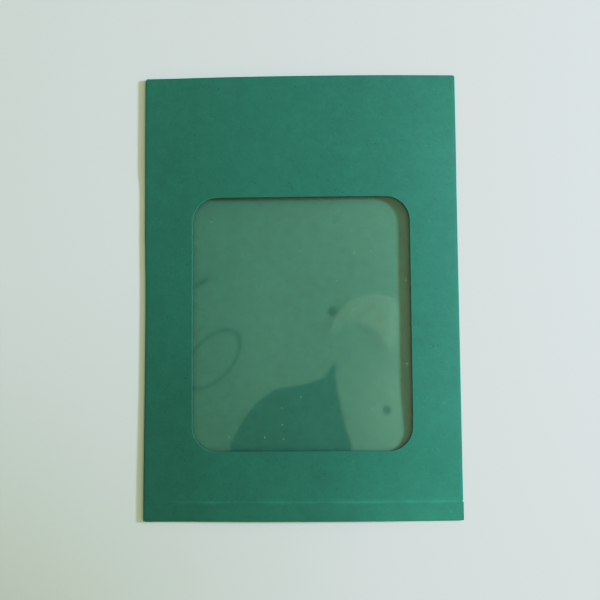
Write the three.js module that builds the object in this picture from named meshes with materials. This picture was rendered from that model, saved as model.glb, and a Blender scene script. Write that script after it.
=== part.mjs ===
// A pocket envelope of dyed card with a film window, closed and lying on its back.
// It is one die-cut blank, folded and glued, and one sheet of clear film glued behind the window.
// Millimetres. +X runs across the front, +Y towards the mouth, +Z up out of the front panel.
// The origin is the middle of the back, on the surface that the envelope lies on.

import * as THREE from "three";
import { mergeGeometries, mergeVertices } from "three/addons/utils/BufferGeometryUtils.js";

// Sheet goods
const CARD = 0.3; // thickness of the card
const FILM = 0.15; // thickness of the film
const GLUE = 0.1; // glue line between two layers of card
const FILM_GLUE = 0.25; // glue line between the card and the film

// Outline of the envelope and of its window
const WIDTH = 162;
const HEIGHT = 229;
const WINDOW_WIDTH = 112;
const WINDOW_HEIGHT = 130;
const WINDOW_RADIUS = 12.5;
const WINDOW_MARGIN = 35; // card left under the window
const FILM_LAP = 8; // film glued down outside the window, on every side

// Flaps of the blank
const BOTTOM_SEAM = 9.5; // height of the glued seam along the bottom, up to its crease
const SEAM_CLEARANCE = 0.8; // the bottom flap stops this far short of the crease
const SIDE_FLAP = 15; // glue flap inside the back panel's free edge
const SIDE_DRAW = 0.1; // the right-hand fold lies this far inside the cut end of the bottom seam
const BACK_INSET = 0.8; // the back panel's free edge stops this far inside the right-hand fold
const CLOSURE_FLAP = 46; // flap folded down behind the mouth
const CLOSURE_RADIUS = 10; // corners of the closure flap
const CLOSURE_TAPER = 0.16; // how much each side of the closure flap draws in, per millimetre
const FLAP_TAPER = 0.45; // the same for the ends of the two glue flaps
const FLAP_INSET = 0.7; // the closure flap and the bottom flap start this far inside the outline

// How the empty envelope stands open
const SWELL = 3; // rise of the front panel over its side folds
const SWELL_POWER = 3; // how flat the middle of the swell is
const BOTTOM_RISE = 62; // length over which the front rises from the crease
const TOP_RISE = 48; // length over which it comes down to the top fold
const TOP_SWELL = 0.35; // share of the swell that is left at the top fold
const SIDE_LIFT = 0.2; // how far the side folds stand off the table
const SIDE_CURL = 23; // width of the band that curls up along a side
const END_LIFT = 1.6; // how much further the middle of each end stands off it
const END_CURL = 75; // length of the band that curls up along an end
const WAIST = 0.5; // how far the left-hand side is drawn in at half height
const WAIST_ABOVE = 38; // length over which it comes back out above that
const WAIST_BELOW = 105; // and below
const STEP_RUN = 12; // length over which the back panel comes down beside the closure flap
const STEP_CLEARANCE = 1; // that slope starts this far from the closure flap
const CREASE_BEAD = 0.14; // height of the bead that the scoring rule leaves
const CREASE_WIDTH = 1.6; // width of that bead
const FILM_SAG = 1.1; // how far the slack film hangs below the swell at the window's middle

// Fineness of the surfaces, in steps
const FOLD_STEPS = 6;
const CORNER_STEPS = 6; // over half of a window corner
const STRAIGHT_STEPS = 9;
const BAND_STEPS = 6; // from the window's edge to the panel's edge
const BACK_STEPS = 8;
const CLOSURE_STEPS = 5;
const FILM_STEPS = 20;

const PITCH = CARD + GLUE; // from one layer of card to the next
const FOLD_LEFT = -WIDTH / 2 + CARD / 2 + PITCH; // where the left-hand fold starts, over two pitches
const FOLD_RIGHT = WIDTH / 2 - SIDE_DRAW - CARD / 2 - PITCH / 2; // the right-hand one, over one pitch
const FOLD_TOP = HEIGHT / 2 - CARD / 2 - PITCH * 1.5; // the top one, over three pitches
const FOLD_BOTTOM = -HEIGHT / 2 + CARD / 2 + PITCH / 2; // the bottom one, over one pitch
const BACK_EDGE = WIDTH / 2 - SIDE_DRAW - BACK_INSET;
const FLAP_X = WIDTH / 2 - FLAP_INSET;
const CREASE_Y = -HEIGHT / 2 + BOTTOM_SEAM;
const SEAM_TOP = CREASE_Y + CREASE_WIDTH / 2;
const WINDOW_Y = -HEIGHT / 2 + WINDOW_MARGIN + WINDOW_HEIGHT / 2; // middle of the window
const CURL_X = WIDTH / 2 - SIDE_CURL; // where the sides start to curl
const STEP_TOP = FOLD_TOP - CLOSURE_FLAP - STEP_CLEARANCE;

const CARD_GREEN = new THREE.Color(0x1f7a5c);
const FILM_CLEAR = new THREE.Color(0xe6efe6);

const { clamp, lerp, inverseLerp, smoothstep } = THREE.MathUtils;
const clamp01 = (v) => clamp(v, 0, 1);

// A list of n + 1 numbers from 0 to 1.
const steps = (n) => Array.from({ length: n + 1 }, (_, i) => i / n);

// One rising list out of several, with repeats dropped.
function stations(...lists) {
  const all = lists.flat().sort((a, b) => a - b);
  return all.filter((v, i) => i === 0 || v - all[i - 1] > 1e-6);
}

// Heights of the layers

// The sides of the whole envelope curl up off the table, and each end is arched between its corners.
function lift(x, y) {
  const side = clamp01((Math.abs(x) - CURL_X) / SIDE_CURL);
  const end = clamp01((Math.abs(y) - (HEIGHT / 2 - END_CURL)) / END_CURL);
  return SIDE_LIFT * side ** 2 + END_LIFT * end ** 2 * clamp01(1 - (2 * x / WIDTH) ** 2);
}

const closureHeight = (x, y) => lift(x, y) + CARD / 2;

// The back panel lies over the closure flap, and comes down to the table below it.
function backHeight(x, y) {
  const overFlap = smoothstep(y, STEP_TOP - STEP_RUN, STEP_TOP);
  return lift(x, y) + PITCH * overFlap + CARD / 2;
}

const flapHeight = (x, y) => backHeight(x, y) + PITCH;

// The front panel springs open between its folds, from the crease up to the top fold.
function frontHeight(x, y) {
  const across = 1 - clamp01(x < 0 ? x / FOLD_LEFT : x / FOLD_RIGHT) ** SWELL_POWER;
  const bottom = smoothstep(y, SEAM_TOP, SEAM_TOP + BOTTOM_RISE);
  const top = lerp(1, TOP_SWELL, smoothstep(y, FOLD_TOP - TOP_RISE, FOLD_TOP));
  const bead = CREASE_BEAD * clamp01(1 - Math.abs(y - CREASE_Y) / (CREASE_WIDTH / 2));
  return backHeight(x, y) + 2 * PITCH + SWELL * across * bottom * top + bead;
}

// How far the left-hand side is drawn in: nothing towards its ends, and nothing from the window on.
function waist(x, y) {
  const side = clamp01((-x - WINDOW_WIDTH / 2) / (WIDTH / 2 - WINDOW_WIDTH / 2));
  return WAIST * side ** 2 * (1 - smoothstep(y, 0, WAIST_ABOVE) - smoothstep(-y, 0, WAIST_BELOW));
}

// Surfaces

// An open surface over two lists of stations. place(u, v) gives each point, which is rounded to a
// tenth of a micron, so that two surfaces meet in the same points.
function patch(us, vs, place) {
  const near = (v) => Math.round(v * 1e4) / 1e4;
  const points = us.flatMap((u) => vs.map((v) => place(u, v)));
  const index = [];
  for (let i = 0; i + 1 < us.length; i++) {
    for (let j = 0; j + 1 < vs.length; j++) {
      const a = i * vs.length + j;
      const b = a + vs.length;
      index.push(a, b, b + 1, a, b + 1, a + 1);
    }
  }
  const rounded = points.map((p) => new THREE.Vector3(near(p.x + waist(p.x, p.y)), near(p.y), near(p.z)));
  return new THREE.BufferGeometry().setFromPoints(rounded).setIndex(index);
}

// Gives a sheet its thickness: both faces lie half of it from the middle surface, and a wall closes
// every cut edge.
function thicken(patches, thickness) {
  const middle = mergeVertices(mergeGeometries(patches), 1e-5);
  middle.computeVertexNormals();
  const at = middle.getAttribute("position");
  const normal = middle.getAttribute("normal");
  const points = [];
  for (const side of [1, -1]) {
    for (let i = 0; i < at.count; i++) {
      const n = new THREE.Vector3().fromBufferAttribute(normal, i);
      points.push(new THREE.Vector3().fromBufferAttribute(at, i).addScaledVector(n, side * thickness / 2));
    }
  }
  const faces = middle.index.array;
  const index = [];
  const open = new Map(); // edges of one face only, each under the name of its other direction
  for (let i = 0; i < faces.length; i += 3) {
    const [a, b, c] = faces.slice(i, i + 3);
    index.push(a, b, c, a + at.count, c + at.count, b + at.count);
    for (const [p, q] of [[a, b], [b, c], [c, a]]) {
      if (!open.delete(`${p} ${q}`)) open.set(`${q} ${p}`, [p, q]);
    }
  }
  for (const [p, q] of open.values()) {
    index.push(p, p + at.count, q, q, p + at.count, q + at.count);
  }
  return new THREE.BufferGeometry().setFromPoints(points).setIndex(index);
}

const toPoint = (x, y, height) => new THREE.Vector3(x, y, height(x, y));

// Front panel

// The point at share q of one side of the window, from the middle of one corner to the middle of the
// next: how far along the side it lies, and how far out from the window's middle.
function windowEdge(length, across, q) {
  const straight = length / 2 - WINDOW_RADIUS;
  const run = (2 * q - 1) * (straight + (WINDOW_RADIUS * Math.PI) / 4);
  if (Math.abs(run) <= straight) return [run, across / 2];
  const turn = (Math.abs(run) - straight) / WINDOW_RADIUS;
  const along = straight + WINDOW_RADIUS * Math.sin(turn);
  return [Math.sign(run) * along, across / 2 - WINDOW_RADIUS * (1 - Math.cos(turn))];
}

// Stations along one side of the window: even steps round each half corner and along the straight.
function windowStations(length) {
  const straight = length / 2 - WINDOW_RADIUS;
  const half = straight + (WINDOW_RADIUS * Math.PI) / 4;
  const corner = (half - straight) / (2 * half);
  const turn = steps(CORNER_STEPS).map((s) => s * corner);
  const run = steps(STRAIGHT_STEPS).map((s) => lerp(corner, 1 - corner, s));
  return stations(turn, turn.map((s) => 1 - s), run);
}

// Places across the panel where the closure flap's sides and the steepest part of its corners are.
const CLOSURE_X = [0, CLOSURE_RADIUS * (1 - Math.sin((5 / 12) * Math.PI))].map((inset) => FLAP_X - inset);
const STEP_Y = [0, 0.5, 1].map((s) => STEP_TOP - s * STEP_RUN);
const ALONG_X = stations(
  windowStations(WINDOW_WIDTH),
  [...CLOSURE_X, CURL_X].flatMap((x) => [x, -x]).map((x) => inverseLerp(FOLD_LEFT, FOLD_RIGHT, x)),
);
const ALONG_Y = stations(
  windowStations(WINDOW_HEIGHT),
  STEP_Y.map((y) => inverseLerp(SEAM_TOP, FOLD_TOP, y)),
);
const PANEL_X = ALONG_X.map((q) => lerp(FOLD_LEFT, FOLD_RIGHT, q));
const PANEL_Y = ALONG_Y.map((q) => lerp(SEAM_TOP, FOLD_TOP, q));
const SEAM_Y = [FOLD_BOTTOM, (FOLD_BOTTOM + CREASE_Y) / 2, CREASE_Y - CREASE_WIDTH / 2, CREASE_Y, SEAM_TOP];
const SIDE_Y = stations(SEAM_Y, PANEL_Y);

// The card between the window and the four edges of the panel, one patch for each side of the window.
function frontPanel() {
  const band = steps(BAND_STEPS);
  const side = (sign, edge) => (q, b) => {
    const [y, x] = windowEdge(WINDOW_HEIGHT, WINDOW_WIDTH, q);
    return toPoint(lerp(sign * x, edge, b), lerp(WINDOW_Y + y, lerp(SEAM_TOP, FOLD_TOP, q), b), frontHeight);
  };
  const end = (sign, edge) => (q, b) => {
    const [x, y] = windowEdge(WINDOW_WIDTH, WINDOW_HEIGHT, q);
    return toPoint(lerp(x, lerp(FOLD_LEFT, FOLD_RIGHT, q), b), lerp(WINDOW_Y + sign * y, edge, b), frontHeight);
  };
  const right = side(1, FOLD_RIGHT);
  const bottom = end(-1, SEAM_TOP);
  return [
    patch(band, ALONG_Y, (b, q) => right(q, b)),
    patch(ALONG_Y, band, side(-1, FOLD_LEFT)),
    patch(ALONG_X, band, end(1, FOLD_TOP)),
    patch(band, ALONG_X, (b, q) => bottom(q, b)),
  ];
}

// The strip under the crease. Its right-hand end is cut, and runs a little past the fold above it.
function bottomStrip() {
  return patch(PANEL_X, SEAM_Y, (x, y) => {
    const cut = x === PANEL_X.at(-1) && y < CREASE_Y;
    return toPoint(cut ? WIDTH / 2 : x, y, frontHeight);
  });
}

// Folds

// A half turn of the sheet, from one layer down to another: how far out, and how far down.
const FOLD = steps(FOLD_STEPS);
const foldOut = (s) => Math.sin(s * Math.PI);
const foldDown = (s) => (1 - Math.cos(s * Math.PI)) / 2;

function leftFold() {
  return patch(SIDE_Y, FOLD, (y, s) => {
    const height = lerp(frontHeight(FOLD_LEFT, y), backHeight(FOLD_LEFT, y), foldDown(s));
    return new THREE.Vector3(FOLD_LEFT - PITCH * foldOut(s), y, height);
  });
}

// The right-hand fold and the glue flap that it turns in, over the back panel
function rightFlap() {
  const fold = patch(FOLD, PANEL_Y, (s, y) => {
    const height = lerp(frontHeight(FOLD_RIGHT, y), flapHeight(FOLD_RIGHT, y), foldDown(s));
    return new THREE.Vector3(FOLD_RIGHT + (PITCH / 2) * foldOut(s), y, height);
  });
  const middle = (SEAM_TOP + FOLD_TOP) / 2;
  const half = (FOLD_TOP - SEAM_TOP) / 2;
  const flap = patch([0, SIDE_FLAP / 2, SIDE_FLAP], PANEL_Y, (inward, y) => {
    const share = (y - middle) / half;
    return toPoint(FOLD_RIGHT - inward, middle + share * (half - inward * FLAP_TAPER), flapHeight);
  });
  return [fold, flap];
}

// Back panel, with its free edge on the right, and the bottom flap turned up inside
function backPanel() {
  const middle = steps(BACK_STEPS).map((s) => lerp(-CURL_X, CURL_X, s));
  const curl = [1 / 3, 2 / 3, 1].flatMap((s) => [lerp(CURL_X, FLAP_X, s), -lerp(CURL_X, FLAP_X, s)]);
  const across = stations([FOLD_LEFT, BACK_EDGE], curl, middle);
  const panel = patch(SIDE_Y, across, (y, x) => toPoint(x, y, backHeight));
  const hem = across.filter((x) => Math.abs(x) <= FLAP_X);
  const fold = patch(hem, FOLD, (x, s) => {
    const height = lerp(backHeight(x, FOLD_BOTTOM), flapHeight(x, FOLD_BOTTOM), foldDown(s));
    return new THREE.Vector3(x, FOLD_BOTTOM - (PITCH / 2) * foldOut(s), height);
  });
  const reach = CREASE_Y - SEAM_CLEARANCE - FOLD_BOTTOM;
  const flap = patch(hem, [0, 0.5, 1], (x, s) => {
    const narrow = 1 - (s * reach * FLAP_TAPER) / FLAP_X;
    return toPoint(x * narrow, FOLD_BOTTOM + s * reach, flapHeight);
  });
  return [panel, fold, flap];
}

// Closure flap: over the top fold and down behind the mouth, with drawn-in sides and round corners
function closureFlap() {
  const across = PANEL_X.filter((x) => Math.abs(x) <= FLAP_X + GLUE / 100);
  const fold = patch(across, FOLD, (x, s) => {
    const height = lerp(frontHeight(x, FOLD_TOP), closureHeight(x, FOLD_TOP), foldDown(s));
    return new THREE.Vector3(x, FOLD_TOP + PITCH * 1.5 * foldOut(s), height);
  });
  const flap = patch(across, steps(CLOSURE_STEPS), (x, s) => {
    const overCorner = clamp01((Math.abs(x) - (FLAP_X - CLOSURE_RADIUS)) / CLOSURE_RADIUS);
    const short = CLOSURE_RADIUS * (1 - Math.sqrt(1 - overCorner ** 2));
    const down = s * (CLOSURE_FLAP - short);
    const narrow = 1 - (down * CLOSURE_TAPER) / FLAP_X;
    return toPoint(x * narrow, FOLD_TOP - down, closureHeight);
  });
  return [fold, flap];
}

// The whole blank, folded
function envelopeCard() {
  const sheet = [
    ...frontPanel(),
    bottomStrip(),
    leftFold(),
    ...rightFlap(),
    ...backPanel(),
    ...closureFlap(),
  ];
  const card = new THREE.Mesh(
    thicken(sheet, CARD),
    new THREE.MeshStandardMaterial({ color: CARD_GREEN, roughness: 0.85, metalness: 0 }),
  );
  card.name = "envelope_card";
  return card;
}

// Window film: glued to the inside of the front panel round the window, and slack across it
function windowFilm() {
  const halfX = WINDOW_WIDTH / 2 + FILM_LAP;
  const halfY = WINDOW_HEIGHT / 2 + FILM_LAP;
  const below = CARD / 2 + FILM_GLUE + FILM / 2;
  const slack = (along, half) => clamp01(1 - (along / half) ** 2) ** 2;
  const grid = steps(FILM_STEPS).map((s) => 2 * s - 1);
  const sheet = patch(grid, grid, (u, v) => {
    const x = u * halfX;
    const y = v * halfY;
    const sag = FILM_SAG * slack(x, WINDOW_WIDTH / 2) * slack(y, WINDOW_HEIGHT / 2);
    return new THREE.Vector3(x, WINDOW_Y + y, frontHeight(x, WINDOW_Y + y) - below - sag);
  });
  const film = new THREE.Mesh(
    thicken([sheet], FILM),
    new THREE.MeshStandardMaterial({
      color: FILM_CLEAR,
      roughness: 0.1,
      metalness: 0,
      transparent: true,
      opacity: 0.25,
    }),
  );
  film.name = "window_film";
  return film;
}

const envelope = new THREE.Group();
envelope.add(envelopeCard(), windowFilm());

export default envelope;
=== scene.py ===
import math
import bpy
import numpy as np
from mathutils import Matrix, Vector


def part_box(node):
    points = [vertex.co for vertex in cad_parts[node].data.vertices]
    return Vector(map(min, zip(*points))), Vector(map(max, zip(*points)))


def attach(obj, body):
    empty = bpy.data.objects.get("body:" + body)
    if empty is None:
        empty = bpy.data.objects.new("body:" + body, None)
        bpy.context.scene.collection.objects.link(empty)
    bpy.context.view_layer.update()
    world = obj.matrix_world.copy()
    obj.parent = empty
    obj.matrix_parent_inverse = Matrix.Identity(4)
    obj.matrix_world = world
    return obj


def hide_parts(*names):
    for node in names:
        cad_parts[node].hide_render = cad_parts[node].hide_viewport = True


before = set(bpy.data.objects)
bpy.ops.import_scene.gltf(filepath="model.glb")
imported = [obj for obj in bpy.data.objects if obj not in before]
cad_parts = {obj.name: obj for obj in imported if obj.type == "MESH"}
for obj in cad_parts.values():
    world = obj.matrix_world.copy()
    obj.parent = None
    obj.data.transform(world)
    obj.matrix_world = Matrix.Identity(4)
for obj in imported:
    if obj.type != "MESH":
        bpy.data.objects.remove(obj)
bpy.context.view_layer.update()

# Camera: straight above the envelope, a third of a metre up and a little below its middle, and
# tilted by three degrees.
camera_place = (0.0047, -0.0207, 0.3330)
camera_turn = (3.13, 0.96, -0.44)
camera_lens = 38.74

camera_data = bpy.data.cameras.new("camera")
camera_data.lens = camera_lens
camera_data.sensor_width = 36
camera_data.clip_start = 0.01
camera = bpy.data.objects.new("camera", camera_data)
camera.location = camera_place
camera.rotation_euler = [math.radians(angle) for angle in camera_turn]
bpy.context.scene.collection.objects.link(camera)
bpy.context.scene.camera = camera

# Its tone curve: a power of 1.5 below 0.3, and a long soft shoulder above.
dark_tones = ((0.03, 0.0095), (0.1, 0.058), (0.2, 0.163), (0.3, 0.3))
light_tones = ((0.45, 0.485), (0.6, 0.62), (0.8, 0.71))
view = bpy.context.scene.view_settings
view.view_transform = "Standard"
view.use_curve_mapping = True
tones = view.curve_mapping.curves[3]
tones.points[1].location = (1, 0.77)
for light_in, light_out in dark_tones + light_tones:
    tones.points.new(light_in, light_out)
view.curve_mapping.update()

# Envelope: one die-cut blank of green dyed card, folded at all four sides. A flap inside the back
# panel and another under the front panel's crease are glued. The closure flap lies behind.
mm = 0.001
card_low, card_high = (np.array(corner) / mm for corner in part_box("envelope_card"))
width, height = np.round((card_high - card_low)[:2], 1)
card = 0.3
pitch = 0.4  # from one layer of card to the next
window_width, window_height, window_radius = 112, 130, 12.5
window_y = -height / 2 + 35 + window_height / 2
side_flap, side_flap_taper = 15, 0.45
bottom_flap_gap, bottom_flap_taper = 0.8, 0.45
closure_flap, closure_radius, closure_taper = 46, 10, 0.16
side_draw, back_inset, flap_inset = 0.1, 0.8, 0.7
side_band, right_curl, left_curl = 23, 0.2, 0.6
corner_curl, corner_start, corner_end = 0.2, 40, 100
end_band, end_arch = 75, 1.6
swell, swell_run, mouth_swell, mouth_run = 3, 62, 0.35, 48
bead, bead_reach = 0.14, 0.45
waist, waist_above, waist_below = 0.5, 38, 105
step_run = 12
fold_left = -width / 2 + card / 2 + pitch
fold_right = width / 2 - side_draw - card / 2 - pitch / 2
fold_top = height / 2 - card / 2 - pitch * 1.5
fold_bottom = -height / 2 + card / 2 + pitch / 2
back_edge = width / 2 - side_draw - back_inset
flap_x = width / 2 - flap_inset
crease_y = -height / 2 + 9.5
seam_top = crease_y + 0.8
step_top = fold_top - closure_flap - 1


def ease(value, low, high):
    """0 below low, 1 above high, and t * t * (3 - 2 * t) between, t being the share of the way."""
    t = np.clip((value - low) / (high - low), 0, 1)
    return t * t * (3 - 2 * t)


def mix(a, b, share):
    """From a to b: a * (1 - share) + b * share."""
    return a * (1 - share) + b * share


def lift(x, y):
    """How far the sheet stands off the table. Each side curls up by the square of the share of the way
    into its band, the left-hand one a little more towards its lower corner. Each end does the same,
    times an arch of 1 - (2 * x / width) ** 2 across it."""
    side = np.clip((abs(x) - (width / 2 - side_band)) / side_band, 0, 1)
    end = np.clip((abs(y) - (height / 2 - end_band)) / end_band, 0, 1)
    curl = np.where(x > 0, right_curl, left_curl + corner_curl * ease(-y, corner_start, corner_end))
    return curl * side**2 + end_arch * end**2 * np.clip(1 - (2 * x / width) ** 2, 0, 1)


def closure_height(x, y):
    """The lowest layer: the lift, and half of the card."""
    return lift(x, y) + card / 2


def back_height(x, y):
    """The same, and one pitch more over the closure flap, with an eased slope down beside it."""
    return closure_height(x, y) + pitch * ease(y, step_top - step_run, step_top)


def flap_height(x, y):
    """The glue flaps inside: one pitch over the back panel."""
    return back_height(x, y) + pitch


def front_height(x, y):
    """Two pitches over the back panel, with a swell of 1 - share ** 3 across, eased down to nothing at
    the crease and to a third at the top fold, and a bell-shaped bead along the crease, weaker at its
    left-hand end."""
    across = 1 - np.clip(np.where(x < 0, x / fold_left, x / fold_right), 0, 1) ** 3
    mouth = mix(1, mouth_swell, ease(y, fold_top - mouth_run, fold_top))
    along = ease(y, seam_top, seam_top + swell_run) * mouth
    ridge = np.exp(-(((y - crease_y) / bead_reach) ** 2)) * mix(0.3, 1, ease(x, -width / 2, -width / 4))
    return back_height(x, y) + 2 * pitch + swell * across * along + bead * ridge


def patch(place, us, vs):
    """A grid of points place(u, v), in millimetres, and the four-cornered faces between them."""
    u, v = np.meshgrid(us, vs, indexing="ij")
    points = np.stack(np.broadcast_arrays(*place(u, v)), -1).reshape(-1, 3)
    corner = np.arange(u.size).reshape(u.shape)
    faces = np.stack([corner[:-1, :-1], corner[1:, :-1], corner[1:, 1:], corner[:-1, 1:]], -1)
    return points, faces.reshape(-1, 4)


def join(patches):
    """One sheet out of several patches: points that are the same to a tenth of a micron become one."""
    starts = np.cumsum([0] + [len(points) for points, _ in patches[:-1]])
    points = np.concatenate([points for points, _ in patches])
    faces = np.concatenate([faces + start for (_, faces), start in zip(patches, starts)])
    _, first, same = np.unique(np.round(points, 4), axis=0, return_index=True, return_inverse=True)
    return points[first], same.reshape(-1)[faces]


def sheet_mesh(name, points, faces, thickness, materials, wear_and_painted_light):
    """A closed sheet: both faces lie half of the thickness from the middle surface, along the sum of
    the normals of the faces round each point, and a flat wall closes each cut edge. The outer face,
    the inner face and the walls take one material each. The function passed last, called with x, y,
    upright and outer, gives each point its wear and its painted light and shade, upright being how
    much its face looks up."""
    along = points[faces[:, 2]] - points[faces[:, 0]]
    across = points[faces[:, 3]] - points[faces[:, 1]]
    normals = np.zeros_like(points)
    for corner in range(4):
        np.add.at(normals, faces[:, corner], np.cross(along, across))
    normals *= thickness / 2 / np.linalg.norm(normals, axis=1, keepdims=True)
    count = len(points)
    edges = np.concatenate([faces[:, [i, (i + 1) % 4]] for i in range(4)])
    met = np.isin(edges[:, 0] * count + edges[:, 1], edges[:, 1] * count + edges[:, 0])
    start, end = edges[~met].T
    walls = np.stack([start, start + count, end + count, end], -1)
    mesh = bpy.data.meshes.new(name)
    solid = np.concatenate([points + normals, points - normals])
    mesh.from_pydata(solid * mm, [], np.concatenate([faces, faces[:, ::-1] + count, walls]))
    side = np.minimum(np.arange(len(mesh.polygons)) // len(faces), 2)
    mesh.polygons.foreach_set("material_index", side.astype(np.int32))
    mesh.polygons.foreach_set("use_smooth", side < 2)
    loop_edges = np.empty(len(mesh.loops), np.int32)
    mesh.loops.foreach_get("edge_index", loop_edges)
    sharp = np.isin(np.arange(len(mesh.edges)), loop_edges[-4 * len(walls):])
    mesh.edges.foreach_set("use_edge_sharp", sharp)
    for material in materials:
        mesh.materials.append(material)
    outer = np.arange(2 * count) < count
    upright = np.tile(normals[:, 2] / (thickness / 2), 2)
    layer = mesh.attributes.new("wear_and_painted_light", "FLOAT", "POINT")
    layer.data.foreach_set("value", wear_and_painted_light(*solid.T[:2], upright, outer).astype(np.float32))
    piece = bpy.data.objects.new(name, mesh)
    bpy.context.scene.collection.objects.link(piece)
    return piece


def window_edge(length, across, share):
    """One side of the window, from the middle of one corner to the middle of the next: a straight
    stretch, and an eighth of a circle at each end. Gives the way along it and out from the middle."""
    straight = length / 2 - window_radius
    run = (2 * share - 1) * (straight + window_radius * math.pi / 4)
    turn = np.clip((abs(run) - straight) / window_radius, 0, None)
    along = np.sign(run) * (np.minimum(abs(run), straight) + window_radius * np.sin(turn))
    return along, across / 2 - window_radius * (1 - np.cos(turn))


def window_shares(length, corner_steps, straight_steps):
    """Even steps round each half corner of the window, and along the straight between them."""
    straight = length / 2 - window_radius
    corner = 0.5 - 0.5 * straight / (straight + window_radius * math.pi / 4)
    turn = np.linspace(0, corner, corner_steps, endpoint=False)
    return np.concatenate([turn, np.linspace(corner, 1 - corner, straight_steps + 1), 1 - turn[::-1]])


def draw_in(points):
    """The left-hand side drawn in at half height, by the square of the share of the way to it from the
    window, and eased out again above and below."""
    x, y, z = points.T
    side = np.clip((-x - window_width / 2) / (width / 2 - window_width / 2), 0, 1)
    drawn = waist * side**2 * (1 - ease(y, 0, waist_above) - ease(-y, 0, waist_below))
    return np.stack([x + drawn, y, z], -1)


along_y = window_shares(window_height, 12, 40)
# The top fold shares its points with the closure flap, so the flap's round corners add some.
corner_x = flap_x - closure_radius * (1 - np.sin([math.pi / 2, 1.4, 1.2, 1.0]))
corner_shares = (np.concatenate([corner_x, -corner_x]) - fold_left) / (fold_right - fold_left)
along_x = np.concatenate([window_shares(window_width, 12, 36), corner_shares])
along_x = np.unique(np.round(along_x, 9))
panel_x = mix(fold_left, fold_right, along_x)
panel_y = mix(seam_top, fold_top, along_y)
under_crease = np.linspace(fold_bottom, crease_y - 1.6, 6)
seam_y = np.concatenate([under_crease, np.linspace(crease_y - 1.3, seam_top, 8)])
side_y = np.unique(np.concatenate([seam_y, panel_y]))
band = np.concatenate([[0, 0.006, 0.02], np.linspace(0.07, 1, 14)])
half_turn = np.linspace(0, 1, 11)


def front_side(sign, edge):
    """The card between one long side of the window and a side fold: straight lines from one to the
    other, share b of the way along each."""

    def place(share, b):
        y, x = window_edge(window_height, window_width, share)
        x = mix(sign * x, edge, b)
        y = mix(window_y + y, mix(seam_top, fold_top, share), b)
        return x, y, front_height(x, y)

    return place


def front_end(sign, edge):
    """The same between a short side of the window and the crease or the top fold."""

    def place(share, b):
        x, y = window_edge(window_width, window_height, share)
        x = mix(x, mix(fold_left, fold_right, share), b)
        y = mix(window_y + sign * y, edge, b)
        return x, y, front_height(x, y)

    return place


def seam_strip(x, y):
    """The strip from the bottom edge to just above the crease. Its right-hand end is cut a little
    outside the fold above."""
    x = np.where((x > fold_right - 1e-6) & (y < crease_y), width / 2, x)
    return x, y, front_height(x, y)


def turned(high, low, s):
    """Half a turn of the sheet: out by sin(pi s), down from high to low by (1 - cos(pi s)) / 2."""
    return np.sin(math.pi * s), mix(high, low, (1 - np.cos(math.pi * s)) / 2)


def left_fold(y, s):
    """Half a turn from the front panel down to the back panel, one pitch deep."""
    out, z = turned(front_height(np.full_like(y, fold_left), y), back_height(fold_left, y), s)
    return fold_left - pitch * out, y, z


def right_fold(s, y):
    """Half a turn from the front panel down to the glue flap, half a pitch deep."""
    out, z = turned(front_height(np.full_like(y, fold_right), y), flap_height(fold_right, y), s)
    return fold_right + pitch / 2 * out, y, z


def right_flap(inward, y):
    """The glue flap inside the back panel. Both its ends are cut back by the taper for each millimetre
    in from the fold."""
    middle = (seam_top + fold_top) / 2
    half = (fold_top - seam_top) / 2
    x = fold_right - inward
    y = middle + (y - middle) / half * (half - inward * side_flap_taper)
    return x, y, flap_height(x, y)


def bottom_fold(x, s):
    """Half a turn from the back panel up to the flap inside the front panel."""
    out, z = turned(back_height(x, fold_bottom), flap_height(x, fold_bottom), s)
    return x, fold_bottom - pitch / 2 * out, z


def bottom_flap(x, s):
    """The flap under the seam strip, up to just short of the crease, with its ends cut back."""
    reach = crease_y - bottom_flap_gap - fold_bottom
    x = x * (1 - s * reach * bottom_flap_taper / flap_x)
    y = fold_bottom + s * reach
    return x, y, flap_height(x, y)


def top_fold(x, s):
    """Half a turn from the front panel over the mouth to the closure flap, one and a half deep."""
    out, z = turned(front_height(x, fold_top), closure_height(x, fold_top), s)
    return x, fold_top + pitch * 1.5 * out, z


def closure(x, s):
    """The closure flap: straight sides that draw in by the taper for each millimetre down, and corners
    that are quarters of a circle."""
    over = np.clip((abs(x) - (flap_x - closure_radius)) / closure_radius, 0, 1)
    down = s * (closure_flap - closure_radius * (1 - np.sqrt(1 - over**2)))
    x = x * (1 - down * closure_taper / flap_x)
    y = fold_top - down
    return x, y, closure_height(x, y)


flap_line = panel_x[abs(panel_x) < flap_x + 1e-6]
back_x = np.unique(np.concatenate([np.linspace(-flap_x, flap_x, 61), [fold_left, back_edge]]))
hem_x = back_x[abs(back_x) < flap_x + 1e-6]


def swapped(place):
    """The same surface with its two parameters the other way round, so that it faces the other way."""
    return lambda u, v: place(v, u)


card_points, card_faces = join([
    patch(swapped(front_side(1, fold_right)), band, along_y),
    patch(front_side(-1, fold_left), along_y, band),
    patch(front_end(1, fold_top), along_x, band),
    patch(swapped(front_end(-1, seam_top)), band, along_x),
    patch(seam_strip, panel_x, seam_y),
    patch(left_fold, side_y, half_turn),
    patch(right_fold, half_turn, panel_y),
    patch(right_flap, np.linspace(0, side_flap, 6), panel_y),
    patch(lambda y, x: (x, y, back_height(x, y)), side_y, back_x),
    patch(bottom_fold, hem_x, half_turn),
    patch(bottom_flap, hem_x, np.linspace(0, 1, 5)),
    patch(top_fold, flap_line, half_turn),
    patch(closure, flap_line, np.linspace(0, 1, 19)),
])


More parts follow.
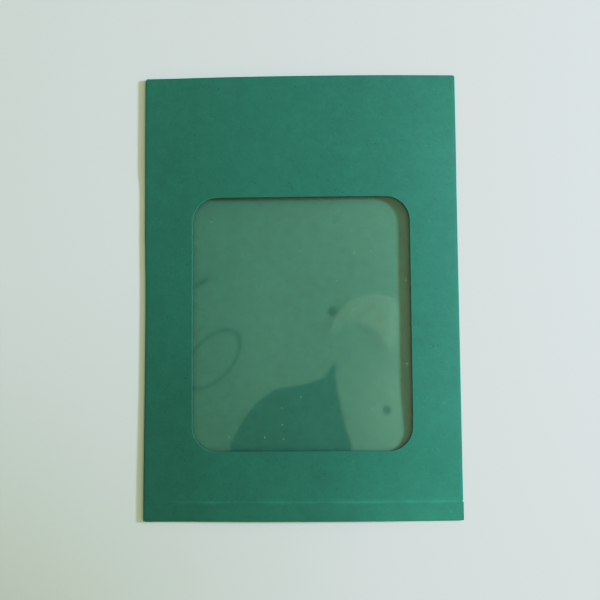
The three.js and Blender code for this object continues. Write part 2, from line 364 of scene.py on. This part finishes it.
def add_node(tree, kind, settings=None, **inputs):
    """One shader node. An input is a value or another node's output, and its name has _ for a space."""
    made = tree.nodes.new(f"ShaderNode{kind}")
    for key, value in (settings or {}).items():
        setattr(made, key, value)
    for key, value in inputs.items():
        socket = made.inputs[int(key[1:])] if key[1:].isdigit() else made.inputs[key.replace("_", " ")]
        if isinstance(value, bpy.types.NodeSocket):
            tree.links.new(value, socket)
        else:
            socket.default_value = value
    return made


def card_finish(name, green):
    """Dyed card: green with soft clouds 18 mm and 5 mm across, fibres of a millimetre or less, and
    sparse dark and light flecks, over a fine felt-like bump. A per-point attribute makes worn places
    and painted highlights lighter, and painted shade darker."""
    material = bpy.data.materials.new(name)
    material.use_nodes = True
    tree = material.node_tree
    shader = tree.nodes["Principled BSDF"]
    place = add_node(tree, "TexCoord").outputs["Object"]
    shade = add_node(tree, "Attribute", {"attribute_name": "wear_and_painted_light"}).outputs["Fac"]
    for scale, detail, twist, reach in ((55, 2, 0, 0.10), (210, 3, 0.6, 0.20), (1000, 2, 1.6, 0.28)):
        noise = add_node(tree, "TexNoise", Vector=place, Scale=scale, Detail=detail, Distortion=twist)
        cloud = noise.outputs["Fac"]
        added = add_node(tree, "Math", {"operation": "MULTIPLY_ADD"}, _0=cloud, _1=reach, _2=shade)
        shade = added.outputs[0]
    for scale, seed, strength in ((290, 0.0, -0.26), (230, 7.3, 0.16)):
        moved = add_node(tree, "VectorMath", {"operation": "ADD"}, _0=place, _1=(seed, seed, seed))
        noise = add_node(tree, "TexNoise", Vector=moved.outputs[0], Scale=scale, Detail=1.5, Distortion=2.5)
        spot = noise.outputs["Fac"]
        soft = {"interpolation_type": "SMOOTHSTEP"}
        fleck = add_node(tree, "MapRange", soft, Value=spot, _1=0.68, _2=0.78, _3=0, _4=strength)
        added = add_node(tree, "Math", {"operation": "ADD"}, _0=shade, _1=fleck.outputs[0])
        shade = added.outputs[0]
    level = add_node(tree, "Math", {"operation": "ADD"}, _0=shade, _1=0.71)
    colour = add_node(tree, "VectorMath", {"operation": "SCALE"}, _0=green, Scale=level.outputs[0])
    tree.links.new(colour.outputs[0], shader.inputs["Base Color"])
    felt = add_node(tree, "TexNoise", Vector=place, Scale=1500, Detail=3, Roughness=0.6)
    bump = add_node(tree, "Bump", Strength=0.25, Distance=0.00006, Height=felt.outputs["Fac"])
    tree.links.new(bump.outputs[0], shader.inputs["Normal"])
    shader.inputs["Roughness"].default_value = 0.55
    shader.inputs["Specular IOR Level"].default_value = 0.5
    shader.inputs["Sheen Weight"].default_value = 0.1
    shader.inputs["Sheen Roughness"].default_value = 0.5
    return material


def card_wear_and_painted_light(x, y, upright, outer):
    """Stretched, paler fibres, with painted light and shade: along the crease by a bell of 0.7 mm,
    partly a painted highlight on its ridge, less at its left-hand end and stronger and weaker by a
    sine wave whose phase swings; on the folds by how far the face turns away from level; and along
    the window's cut rim, four times as much on its left-hand side, which faces the light, as a
    painted highlight. Painted light lightens the lower right-hand corner, and painted shade darkens
    the lower left-hand one."""
    uneven = 1 + 0.6 * np.sin(x / 3.7 + 2 * np.sin(x / 9))
    # Paler fibres along the crease, partly a painted highlight on its ridge, weaker at the left-hand end.
    crease_fibres_and_highlight = uneven * np.exp(-(((y - crease_y) / 0.7) ** 2)) * ease(x, -width / 2 + 4, -width / 4)
    past_x = np.clip(abs(x) - window_width / 2 + window_radius, 0, None)
    past_y = np.clip(abs(y - window_y) - window_height / 2 + window_radius, 0, None)
    # Along the window's cut rim: paler cut fibres on the right-hand side, and four times as much on the
    # left-hand side, which faces the light, as a painted highlight.
    rim = np.exp(-(((np.hypot(past_x, past_y) - window_radius) / 0.16) ** 2)) * mix(0.1, 0.4, x < 0)
    # Painted light at the lower right-hand corner and painted shade at the lower left-hand one.
    corner_painted_light_and_shade = (0.22 * ease(x, 0, width / 2) - 0.12 * ease(-x, 30, width / 2)) * ease(-y, 10, height / 2)
    folds = 0.1 * ease(1 - abs(upright), 0.15, 0.9)
    return outer * ((0.15 * crease_fibres_and_highlight + rim * (past_x > 0)) * (upright > 0.5) + folds + corner_painted_light_and_shade)


envelope = sheet_mesh(
    "envelope",
    draw_in(card_points),
    card_faces,
    card,
    [
        card_finish("dyed_card", (0.040, 0.184, 0.147)),
        card_finish("dyed_card_inside", (0.070, 0.224, 0.200)),
        card_finish("cut_card_edge", (0.15, 0.27, 0.23)),
    ],
    card_wear_and_painted_light,
)
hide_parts("envelope_card")
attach(envelope, "root")

# Window film: one sheet of clear plastic glued to the inside of the front panel round the window.
# It is slack across the window, with shallow waves, and an oval hollow and two dents from handling.
film = 0.15
film_lap = 8
film_glue = 0.25
film_sag = 1.1
film_drop = card / 2 + film_glue + film / 2
dent_depth, dent_places = 0.1, ((15.8, -8.7), (42.7, -58.8))
oval_step, oval_x, oval_y = 0.1, -45.8, -32.7


def oval_share(x, y):
    """The share of the way from the oval's middle to its edge: the hypotenuse of the ways along and
    across its slanting long axis, in its half length of 18 mm and its half width of 10 mm."""
    along = (x - oval_x) * 0.68 + (y - oval_y) * 0.73
    across = (y - oval_y) * 0.68 - (x - oval_x) * 0.73
    return np.hypot(along / 18, across / 10)


def film_surface(u, v):
    """Under the front panel by half of the card, the glue and half of the film, and below that by a sag
    of (1 - s ** 2) ** 2 in both directions, s being the share of the way to the window's edge. Two
    crossing sine waves, a step up round an oval and two round dents lie over it, and are eased out
    near the window's edge."""
    x = u * (window_width / 2 + film_lap)
    y = v * (window_height / 2 + film_lap)
    free_x = np.clip(1 - (x / (window_width / 2)) ** 2, 0, 1)
    free_y = np.clip(1 - (y / (window_height / 2)) ** 2, 0, 1)
    free = free_x * free_y
    y = window_y + y
    waves = 0.035 * np.sin(x / 7.5 + 0.9 * np.sin(y / 17)) + 0.045 * np.sin(y / 11 + x / 23)
    oval = oval_step * ease(oval_share(x, y), 0.92, 1.0)
    dents = sum(np.exp(-((x - a) ** 2 + (y - b) ** 2) / 7) for a, b in dent_places)
    handling = (waves + oval - dent_depth * dents) * ease(free, 0, 0.25)
    return x, y, front_height(x, y) - film_drop - film_sag * free**2 + handling


def film_finish(name):
    """Clear film: each of its two faces mirrors a share of 0.05 + 0.95 * facing ** 5, more or less at a
    mark, and marks that mirror less also take up to 8 % of the light that passes. A haze scatters
    0.4 % of the light, and up to 2 % at a rubbed place. One in seven of cells 9 mm wide has a speck
    of dust."""
    material = bpy.data.materials.new(name)
    material.use_nodes = True
    tree = material.node_tree
    tree.nodes.remove(tree.nodes["Principled BSDF"])
    facing = add_node(tree, "LayerWeight", Blend=0.5).outputs["Facing"]
    power = add_node(tree, "Math", {"operation": "POWER"}, _0=facing, _1=5)
    even = add_node(tree, "Math", {"operation": "MULTIPLY_ADD"}, _0=power.outputs[0], _1=0.95, _2=0.05)
    marks = add_node(tree, "Attribute", {"attribute_name": "wear_and_painted_light"}).outputs["Fac"]
    marked = add_node(tree, "Math", {"operation": "ADD"}, _0=marks, _1=1)
    share = add_node(tree, "Math", {"operation": "MULTIPLY"}, _0=even.outputs[0], _1=marked.outputs[0])
    dim = add_node(tree, "MapRange", Value=marks, _1=-1, _2=0, _3=0.92, _4=1)
    tint = (0.99, 1.0, 0.98)
    passed = add_node(tree, "VectorMath", {"operation": "SCALE"}, _0=tint, Scale=dim.outputs[0])
    clear = add_node(tree, "BsdfTransparent", Color=passed.outputs[0])
    haze = add_node(tree, "BsdfDiffuse", Color=(0.66, 0.95, 0.80, 1))
    rubbed = add_node(tree, "MapRange", Value=marks, _1=0, _2=0.5, _3=0.004, _4=0.02).outputs[0]
    place = add_node(tree, "TexCoord").outputs["Object"]
    cells = add_node(tree, "TexVoronoi", {"voronoi_dimensions": "2D"}, Vector=place, Scale=110)
    from_middle = cells.outputs["Distance"]
    speck = add_node(tree, "MapRange", Value=from_middle, _1=0.02, _2=0.06, _3=0.13, _4=0).outputs[0]
    chance = add_node(tree, "SeparateXYZ", Vector=cells.outputs["Color"]).outputs["X"]
    chosen = add_node(tree, "Math", {"operation": "GREATER_THAN"}, _0=chance, _1=0.86).outputs[0]
    dull = add_node(tree, "Math", {"operation": "MULTIPLY_ADD"}, _0=speck, _1=chosen, _2=rubbed)
    body = add_node(tree, "MixShader", Fac=dull.outputs[0], _1=clear.outputs[0], _2=haze.outputs[0])
    gloss = add_node(tree, "BsdfGlossy", Color=(1, 1, 1, 1), Roughness=0.05)
    both = add_node(tree, "MixShader", Fac=share.outputs[0], _1=body.outputs[0], _2=gloss.outputs[0])
    tree.links.new(both.outputs[0], tree.nodes["Material Output"].inputs["Surface"])
    return material


def film_marks(x, y, upright, outer):
    """Handling marks: the outline of an oval, two round dents and a short smear at the left-hand edge
    mirror less. A rubbed crescent between two circles and a soft patch below it mirror more."""
    ring = np.exp(-(((oval_share(x, y) - 1) / 0.09) ** 2))
    dents = sum(np.exp(-(((x - a) ** 2 + (y - b) ** 2) / 6) ** 2) for a, b in dent_places)
    smear = np.exp(-(((x + 51) / 4) ** 2) - ((y - 7 - 0.5 * (x + 51)) / 1.8) ** 2)
    crescent = ease(-np.hypot(x - 37, y + 22.5), -23.2, -22) * ease(np.hypot(x - 27, y + 30), 12, 19)
    soft_patch = np.exp(-(((x - 46) / 20) ** 2) - ((y + 55) / 28) ** 2)
    rubbed = (0.45 * crescent * ease(y, -36, -18) + 0.28 * soft_patch) * ease(-x, -52, -47)
    return rubbed - 0.42 * ring - 0.7 * dents - 0.7 * smear


film_points, film_faces = join([patch(film_surface, np.linspace(-1, 1, 181), np.linspace(-1, 1, 209))])
clear_film = film_finish("clear_film")
window_film = sheet_mesh("film", film_points, film_faces, film, [clear_film] * 3, film_marks)
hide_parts("window_film")
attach(window_film, "root")

# Table: a plain pale surface six metres across, without grain and with little gloss. The envelope
# lies on it.
table_data = bpy.data.meshes.new("table")
table_data.from_pydata([(-3, -3, 0), (3, -3, 0), (3, 3, 0), (-3, 3, 0)], [], [(0, 1, 2, 3)])
table_top = bpy.data.materials.new("table_top")
table_top.use_nodes = True
pale = table_top.node_tree.nodes["Principled BSDF"]
pale.inputs["Base Color"].default_value = (0.74, 0.80, 0.79, 1)
pale.inputs["Roughness"].default_value = 0.6
table_data.materials.append(table_top)
table = bpy.data.objects.new("table", table_data)
bpy.context.scene.collection.objects.link(table)

# Light: a cool softbox low on the right, a little towards the top, and a warm room all round that is
# brighter on the same side. Three black boards shade it: one nearly half way to the softbox, one
# beyond the lower left-hand corner, and one overhead, which the film mirrors.
key_rise = math.radians(24)
key_turn = math.radians(8)
key_far = 1.2
key_data = bpy.data.lights.new("softbox", "AREA")
key_data.shape = "RECTANGLE"
key_data.size = 0.12
key_data.size_y = 0.21
key_data.energy = 20.5
key_data.color = (0.57, 0.8, 1.0)
key = bpy.data.objects.new("softbox", key_data)
key.location = (
    key_far * math.cos(key_rise) * math.cos(key_turn),
    key_far * math.cos(key_rise) * math.sin(key_turn),
    key_far * math.sin(key_rise),
)
key.rotation_euler = (0, math.pi / 2 - key_rise, key_turn)
bpy.context.scene.collection.objects.link(key)


def flag(name, corner_painted_light_and_shade, mirrored):
    """A black board that keeps light off. The camera doesn't see it, and the film shows its mirror image
    only if mirrored is set."""
    data = bpy.data.meshes.new(name)
    data.from_pydata(corner_painted_light_and_shade, [], [(0, 1, 2, 3)])
    black = bpy.data.materials.new(name)
    black.use_nodes = True
    matt = black.node_tree.nodes["Principled BSDF"]
    matt.inputs["Base Color"].default_value = (0.01, 0.01, 0.01, 1)
    matt.inputs["Roughness"].default_value = 1
    data.materials.append(black)
    board = bpy.data.objects.new(name, data)
    board.visible_camera = False
    board.visible_glossy = mirrored
    bpy.context.scene.collection.objects.link(board)


key_flag = [(0.49, -0.052, 0.240), (0.49, 0.030, 0.240), (0.49, 0.030, 0.290), (0.49, -0.052, 0.290)]
side_flag = [(-0.36, -0.04, 0), (-0.14, -0.34, 0), (-0.14, -0.34, 0.14), (-0.36, -0.04, 0.14)]
overhead_flag = [(-0.17, -0.30, 0.5), (0.08, -0.30, 0.5), (0.025, -0.035, 0.5), (-0.03, -0.085, 0.5)]
flag("key_flag", key_flag, False)
flag("side_flag", side_flag, False)
flag("overhead_flag", overhead_flag, True)

world = bpy.data.worlds.new("room")
world.use_nodes = True
bpy.context.scene.world = world
room = world.node_tree
dim_side, bright_side_more = (0.72, 0.79, 0.57), (0.90, 0.80, 0.52)
direction = add_node(room, "TexCoord").outputs["Generated"]
to_right = add_node(room, "SeparateXYZ", Vector=direction).outputs["X"]
bright = add_node(room, "MapRange", Value=to_right, _1=-0.15, _2=0.3, _3=0, _4=1).outputs[0]
more = add_node(room, "VectorMath", {"operation": "SCALE"}, _0=bright_side_more, Scale=bright).outputs[0]
room_colour = add_node(room, "VectorMath", {"operation": "ADD"}, _0=more, _1=dim_side)
background = room.nodes["Background"]
room.links.new(room_colour.outputs[0], background.inputs["Color"])
background.inputs["Strength"].default_value = 0.5
